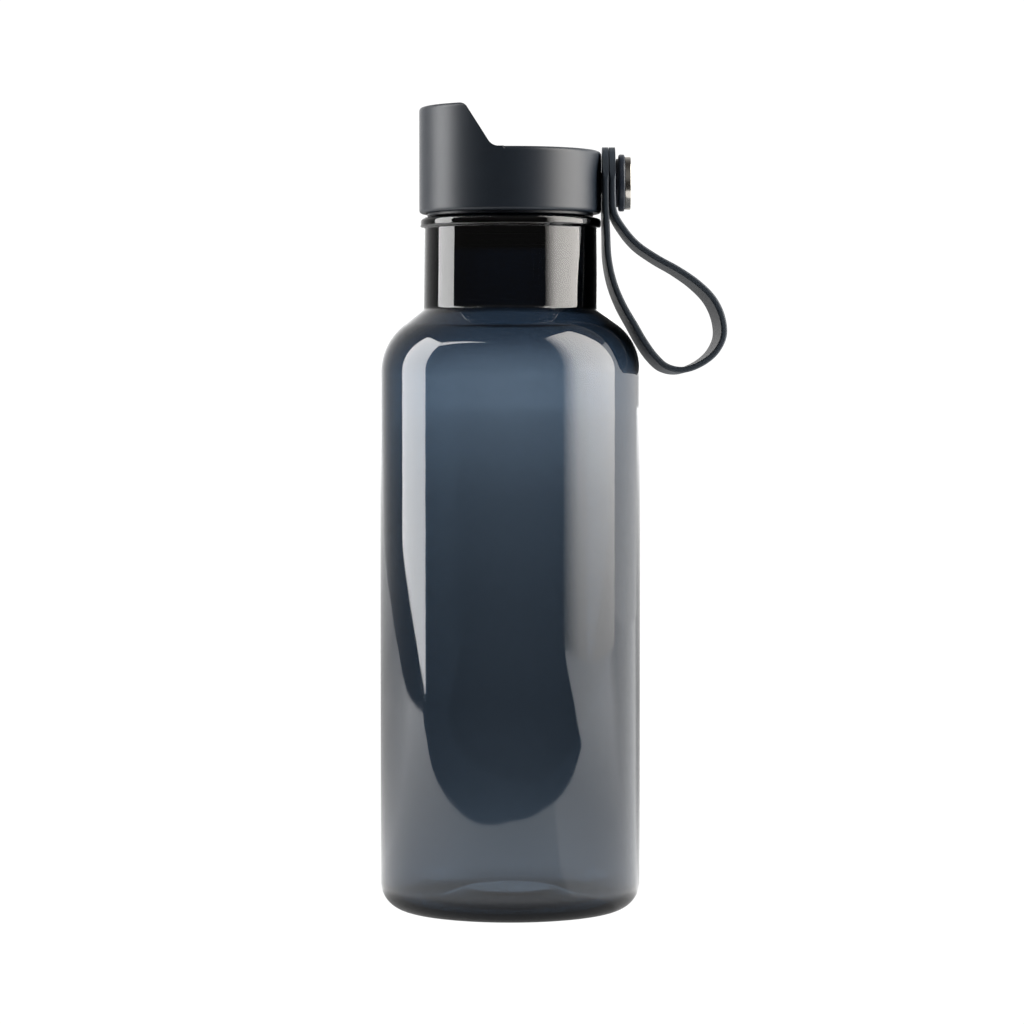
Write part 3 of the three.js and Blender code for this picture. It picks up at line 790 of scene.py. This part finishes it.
def make_button():
    centre = (0, 0, STRAP_AXIS)
    seat = BUTTON_END - SCREW_HEAD_THICKNESS + GAP
    end = BUTTON_END + DRAWN_GAP
    step = BUTTON_X - BUTTON_STEP
    base = lathed("button", closed([
        (SCREW_RADIUS + PIN_SLACK, step),
        (BUTTON_RADIUS - BUTTON_STEP_INSET, step, SMALL_ROUND),
        (BUTTON_RADIUS - BUTTON_STEP_INSET, BUTTON_X, CRISP_ROUND),
        (BUTTON_RADIUS, BUTTON_X, SOFT_ROUND),
        (BUTTON_RADIUS, end, CORNER_ROUND),
        (SCREW_HEAD_RADIUS + SLACK, end, CRISP_ROUND),
        (SCREW_HEAD_RADIUS + SLACK, seat),
        (SCREW_RADIUS + PIN_SLACK, seat),
    ]), FINE_SIDES, centre, "x")
    finished(base, button_plastic, "lid", "button_base")

    tip, head_end = screw_low[0] - AXIS_X, screw_high[0] - AXIS_X
    head_foot = head_end - SCREW_HEAD_THICKNESS
    screw = lathed("screw", [
        (0, tip),
        (SCREW_RADIUS, tip, CORNER_ROUND),
        (SCREW_RADIUS, head_foot, CRISP_ROUND),
        (SCREW_HEAD_RADIUS, head_foot, CRISP_ROUND),
        (SCREW_HEAD_RADIUS, head_end, CORNER_ROUND),
        (SOCKET_TOP, head_end, CRISP_ROUND),
        (SOCKET_FLOOR, head_end - SOCKET_DEPTH, CRISP_ROUND),
        (0, head_end - SOCKET_DEPTH),
    ], SMALL_SIDES, centre, "x")
    finished(screw, pin_steel, "lid", "button_screw")

    back, rim = CAP_X - DRAWN_GAP, CAP_END - CAP_CROWN
    cap = lathed("cap", [
        (0, CAP_X + CAP_RECESS),
        (SCREW_HEAD_RADIUS + SLACK, CAP_X + CAP_RECESS),
        (SCREW_HEAD_RADIUS + SLACK, back, CRISP_ROUND),
        (CAP_RADIUS, back, FINE_ROUND),
        (CAP_RADIUS, rim, CAP_RIM_ROUND),
        (CAP_RADIUS - CAP_RIM, rim, SMALL_ROUND),
        (0, CAP_END),
    ], FINE_SIDES, centre, "x")
    finished(cap, cap_steel, "lid", "button_cap")


def smooth_path(route, count):
    """Evenly spaced points on a centripetal Catmull-Rom curve through the route's points."""
    route = np.array(route, float)
    ends = [2 * route[0] - route[1], *route, 2 * route[-1] - route[-2]]
    dense = []
    for p0, p1, p2, p3 in zip(ends, ends[1:], ends[2:], ends[3:]):
        d0, d1, d2 = (math.sqrt(np.linalg.norm(b - a)) for a, b in ((p0, p1), (p1, p2), (p2, p3)))
        m1 = ((p1 - p0) / d0 - (p2 - p0) / (d0 + d1) + (p2 - p1) / d1) * d1
        m2 = ((p2 - p1) / d1 - (p3 - p1) / (d1 + d2) + (p3 - p2) / d2) * d1
        square = -3 * p1 + 3 * p2 - 2 * m1 - m2
        cube = 2 * p1 - 2 * p2 + m1 + m2
        for t in np.linspace(0, 1, PATH_STEPS, endpoint=False):
            dense.append(p1 + m1 * t + square * t**2 + cube * t**3)
    dense = np.array([*dense, route[-1]])
    steps = np.linalg.norm(np.diff(dense, axis=0), axis=1)
    travelled = np.concatenate([[0], np.cumsum(steps)])
    wanted = np.linspace(0, travelled[-1], count)
    return np.stack([np.interp(wanted, travelled, dense[:, k]) for k in range(3)], axis=1)


def make_strap():
    stud = np.array([LID_RADIUS, STRAP_AXIS])
    turn = SHOULDER_ARC * math.sqrt(0.5)
    shoulder = np.array([BODY_RADIUS - SHOULDER_ARC + turn, SHOULDER_START + turn])
    end = STRAP_WIDTH / 2 + OVERRUN
    # Share of the way from the stud down to the shoulder, then how far outwards and up from there.
    offsets = [
        (0, FIRST_LAYER, end),
        (0, FIRST_LAYER, 0),
        (0, FIRST_LAYER, -7.2),
        (0.5, -1.75, 6.3),
        (0.5, -1.4, -1.2),
        (1, -3, 12.6),
        (1, -0.6, 6.6),
        (1, 2.6, 0.9),
        (1, 5.3, -3.8),
        (1, 8.3, -8),
        (1, 11.5, -10.8),
        (1, 15.8, -11.7),
        (1, 20.6, -10.2),
        (1, 25, -6.8),
        (1, 27.3, -2.2),
        (1, 26.9, 3),
        (1, 24.6, 8),
        (1, 20.5, 12.3),
        (1, 15, 16.2),
        (0.5, 12, -0.9),
        (0.5, 6.6, 2.9),
        (0.5, 2.9, 7.2),
        (0, SECOND_LAYER + 0.4, -8.8),
        (0, SECOND_LAYER, -4),
        (0, SECOND_LAYER, 0),
        (0, SECOND_LAYER, end),
    ]
    route = []
    for share, out, up in offsets:
        x, z = stud + (shoulder - stud) * share
        route.append((x + out, 0, z + up))
    middle = smooth_path(route, STRAP_STATIONS)
    tangents = np.gradient(middle, axis=0)
    tangents /= np.linalg.norm(tangents, axis=1)[:, None]

    half_width, half = STRAP_WIDTH / 2, STRAP_THICKNESS / 2
    edge = filleted(closed([
        (0, -half),
        (half_width, -half, SOFT_ROUND),
        (half_width, half, SOFT_ROUND),
        (-half_width, half, SOFT_ROUND),
        (-half_width, -half, SOFT_ROUND),
    ]))[1:-1]
    rings = []
    for i, (spot, tangent) in enumerate(zip(middle, tangents)):
        lean = STRAP_LEAN * math.sin(math.pi * i / (len(middle) - 1)) ** 2
        width = np.array([-lean, 1, -STRAP_PITCH * lean])
        width -= tangent * (width @ tangent)
        width /= np.linalg.norm(width)
        outward = np.cross(tangent, width)
        rings.append([spot + width * x + outward * y for x, y in edge])
    strap = swept("strap", rings)
    start_x, end_x = LID_RADIUS - OVERRUN, CAP_X
    corners = slab("tool", [
        (start_x, STRAP_AXIS),
        (end_x, STRAP_AXIS),
        (end_x, STRAP_AXIS + STRAP_WIDTH),
        (start_x, STRAP_AXIS + STRAP_WIDTH),
    ], 2 * STRAP_WIDTH)
    carve(corners, "DIFFERENCE", sideways(STRAP_WIDTH / 2, start_x - OVERRUN, end_x + OVERRUN))
    carve(strap, "DIFFERENCE", corners, sideways(POST_RADIUS + SLACK, start_x, end_x))
    finished(strap, strap_silicone, "strap", "carry_strap")


# ---------- camera and studio, in metres ----------

CAMERA_PLACE = (AXIS_X / 1000 + 0.0005, -1.0247, 0.145)
CAMERA_TILT = 1.84  # degrees down from level
CAMERA_LENS = 127.76

WHITE = 1.06  # what the camera sees of the floor and behind the bottle
FLOOR_HALF = 30.0
FLOOR_Z = -0.0004
TABLE_Z = -0.0002
LEFT_LEVEL = 9.0


def make_camera():
    camera = bpy.data.objects.new("camera", bpy.data.cameras.new("camera"))
    bpy.context.scene.collection.objects.link(camera)
    camera.location = CAMERA_PLACE
    camera.rotation_euler = (math.radians(90 - CAMERA_TILT), 0, 0)
    camera.data.sensor_width = 36
    camera.data.lens = CAMERA_LENS
    camera.data.clip_start = 0.01
    camera.data.clip_end = 100
    bpy.context.scene.camera = camera


def shining(name, strength_from, colour=(1, 1, 1)):
    """A material that only gives light, as strong as strength_from works out in its nodes."""
    material = bpy.data.materials.new(name)
    material.use_nodes = True
    material.node_tree.nodes.clear()
    nodes = Nodes(material.node_tree)
    emission = nodes.add("ShaderNodeEmission", {"Color": (*colour, 1), "Strength": strength_from(nodes)})
    output = nodes.add("ShaderNodeOutputMaterial")
    nodes.link(emission.outputs[0], output.inputs["Surface"])
    return material


def glow(name, strength, colour=(1, 1, 1), upwards=None, sideways_fade=None):
    """Light from a card. The two sets of stops fade it up and across the card."""

    def level_from(nodes):
        place = nodes.add("ShaderNodeTexCoord").outputs["UV"]
        parts = nodes.add("ShaderNodeSeparateXYZ", {0: place})
        level = strength
        for stops, axis in ((sideways_fade, 0), (upwards, 1)):
            if stops:
                level = nodes.math("MULTIPLY", level, nodes.fade(parts.outputs[axis], stops))
        return level

    return shining(name, level_from, colour)


def painted_table_light(nodes):
    """The lit table's painted light: brighter to both sides, dim behind, pale far off, and darkened close
    round the base by a painted shadow of the bottle.
    """
    side_reach, side_boost = 0.7, 1.5
    right_turn, right_level = (0.4, 0.6), 1.75
    # How far from the axis the painted shadow round the base reaches, and how dark it gets at its middle.
    painted_shadow_reach, painted_shadow_level = (0.034, 0.057), 0.24
    nearest, decades = 0.1, 2.7

    place = nodes.add("ShaderNodeTexCoord").outputs["Object"]
    x, y, _ = nodes.add("ShaderNodeSeparateXYZ", {0: place}).outputs
    flat = nodes.add("ShaderNodeCombineXYZ", {0: nodes.math("SUBTRACT", x, AXIS_X / 1000), 1: y}).outputs[0]
    away = nodes.add("ShaderNodeVectorMath", {0: flat}, operation="LENGTH").outputs["Value"]

    aside = nodes.math("DIVIDE", x, nodes.math("MAXIMUM", away, 0.001))
    reach = nodes.math("MINIMUM", nodes.math("DIVIDE", away, side_reach), 1.0)
    sides = nodes.math("MULTIPLY", nodes.math("MULTIPLY", aside, aside), reach)
    sides = nodes.math("ADD", nodes.math("MULTIPLY", sides, side_boost), 1.0)

    # The logarithm spreads the table's depth evenly: 0.1 m at 0 and 50 m at 1.
    depth = nodes.math("LOGARITHM", nodes.math("MAXIMUM", y, nearest), 10.0)
    depth = nodes.math("DIVIDE", nodes.math("ADD", depth, 1.0), decades)
    behind = nodes.fade(depth, [
        (0.0, 1.15), (0.2, 0.62), (0.31, 0.5), (0.44, 0.65), (0.59, 1.0), (0.72, 1.55), (1.0, 2.3),
    ])
    right = nodes.between(aside, right_turn, (0.0, right_level))
    level = nodes.math("MAXIMUM", nodes.math("MULTIPLY", behind, sides), right)
    # Painted shadow: the table's light is darkened in a soft disc round the bottle's base, where the
    # bottle's shadow would fall.
    painted_shadow = nodes.between(away, painted_shadow_reach, (painted_shadow_level, 1.0), interpolation_type="SMOOTHSTEP")
    return nodes.math("MULTIPLY", level, painted_shadow)


def panel(name, corners, material, seen=False):
    """A flat stage card. Where it isn't seen, only reflections and light know of it."""
    mesh = bpy.data.meshes.new(name)
    mesh.from_pydata(corners, [], [range(len(corners))])
    layer = mesh.uv_layers.new(name="across")
    for loop, uv in zip(layer.data, [(0, 0), (1, 0), (1, 1), (0, 1)]):
        loop.uv = uv
    mesh.materials.append(material)
    card = bpy.data.objects.new(name, mesh)
    bpy.context.scene.collection.objects.link(card)
    card.visible_camera = seen
    return card


def upright_card(name, azimuths, distance, bottoms, top, material):
    """A standing card from one azimuth to another, counted from the camera's side towards +X."""
    first, second = (math.radians(angle) for angle in azimuths)
    reach = distance / math.cos((second - first) / 2)
    left = (AXIS_X / 1000 + reach * math.sin(first), -reach * math.cos(first))
    right = (AXIS_X / 1000 + reach * math.sin(second), -reach * math.cos(second))
    corners = [(*left, bottoms[0]), (*right, bottoms[1]), (*right, top), (*left, top)]
    return panel(name, corners, material)


def make_floor():
    """The white that the camera sees under the bottle. It takes no part in light or reflections."""
    square = [(-1, -1), (1, -1), (1, 1), (-1, 1)]
    corners = [(x * FLOOR_HALF, y * FLOOR_HALF, FLOOR_Z) for x, y in square]
    floor = panel("floor", corners, glow("floor_white", WHITE), True)
    floor.visible_diffuse = False
    floor.visible_glossy = False
    floor.visible_transmission = False
    floor.visible_shadow = False


def make_table():
    """The table as the bottle sees it: round its left edge, along its front, and out to the right. It is a
    card that only gives off light, with the lit table's brightness painted into it.
    """
    outline = [
        (-8, 40), (-2.5, 12), (-1.5, 4), (-1.3, 2), (-1.19, 1), (-0.99, 0.48), (-0.8, 0.17), (-0.7, -0.1),
        (-0.44, -0.15), (-0.27, -0.21), (-0.01, -0.282), (0.13, -0.28), (0.34, -0.245), (0.48, -0.24),
        (0.62, -0.42), (0.8, -0.72), (1.6, -1.4), (40, -30), (40, 40),
    ]
    # Painted light: the table card glows with the brightness a lit table would have.
    panel("table", [(x, y, TABLE_Z) for x, y in outline], shining("table_painted_light", painted_table_light))


def make_lights():
    left = glow("left_light", LEFT_LEVEL, upwards=[(0.0, 0.78), (0.6, 0.9), (1.0, 1.0)])
    upright_card("left_box", (-109, -79), 1.0, (0.062, -0.02), 1.1, left)
    left_top = [(-1.01, -0.2, 0.93), (-1.01, -0.2, 1.12), (-0.47, -0.88, 1.45)]
    panel("left_top", left_top, glow("left_top_light", LEFT_LEVEL))

    right_levels = [
        (0.0, 2.9), (0.015, 3.5), (0.043, 4.8), (0.071, 6.8), (0.09, 8.5), (0.15, 8.0), (1.0, 6.5),
    ]
    right_edge = [(0.0, 0.0), (0.1, 0.3), (0.3, 0.88), (0.5, 1.0)]
    right = glow("right_light", 1.0, (1.0, 0.965, 0.92), right_levels, right_edge)
    upright_card("right_box", (46, 104), 1.0, (0.0, 0.0), 2.0, right)
    fill = glow("back_fill", 1.0, sideways_fade=[(0.0, 2.2), (1.0, 1.3)])
    upright_card("right_back", (104, 150), 1.3, (0.0, 0.0), 1.0, fill)


def make_world():
    """White to the camera. To the bottle, a backdrop brightest straight behind, and a dim ceiling."""
    core_power, core_level = 24.0, 1.7
    broad_power, broad_level = 5.0, 0.8
    ceiling_level, base_level = 0.6, 0.03

    world = bpy.data.worlds.new("studio")
    bpy.context.scene.world = world
    world.use_nodes = True
    world.node_tree.nodes.clear()
    nodes = Nodes(world.node_tree)
    direction = nodes.add("ShaderNodeTexCoord").outputs["Generated"]
    _, ahead, up = nodes.add("ShaderNodeSeparateXYZ", {0: direction}).outputs
    facing = nodes.math("MULTIPLY", nodes.math("ADD", ahead, 1.0), 0.5)
    core = nodes.math("MULTIPLY", nodes.math("POWER", facing, core_power), core_level)
    broad = nodes.math("MULTIPLY", nodes.math("POWER", facing, broad_power), broad_level)
    backdrop = nodes.math("ADD", core, broad)
    height = nodes.math("MAXIMUM", up, 0.0)
    arch = nodes.math("MULTIPLY", height, nodes.math("SUBTRACT", 1.0, height))
    ceiling = nodes.math("MULTIPLY", arch, ceiling_level)
    lit = nodes.math("ADD", nodes.math("ADD", backdrop, ceiling), base_level)
    seen = nodes.add("ShaderNodeLightPath").outputs["Is Camera Ray"]
    strength = nodes.add("ShaderNodeMix", {0: seen, 2: lit, 3: WHITE}, data_type="FLOAT").outputs[0]
    background = nodes.add("ShaderNodeBackground", {"Color": (1, 1, 1, 1), "Strength": strength})
    output = nodes.add("ShaderNodeOutputWorld")
    nodes.link(background.outputs[0], output.inputs["Surface"])
    bpy.context.scene.view_settings.view_transform = "Standard"


make_camera()
make_floor()
make_table()
make_lights()
make_world()
make_bottle()
make_lid_shell()
make_liner()
make_gasket()
make_valve()
make_flap()
make_plug()
make_hinge_pin()
make_button()
make_strap()
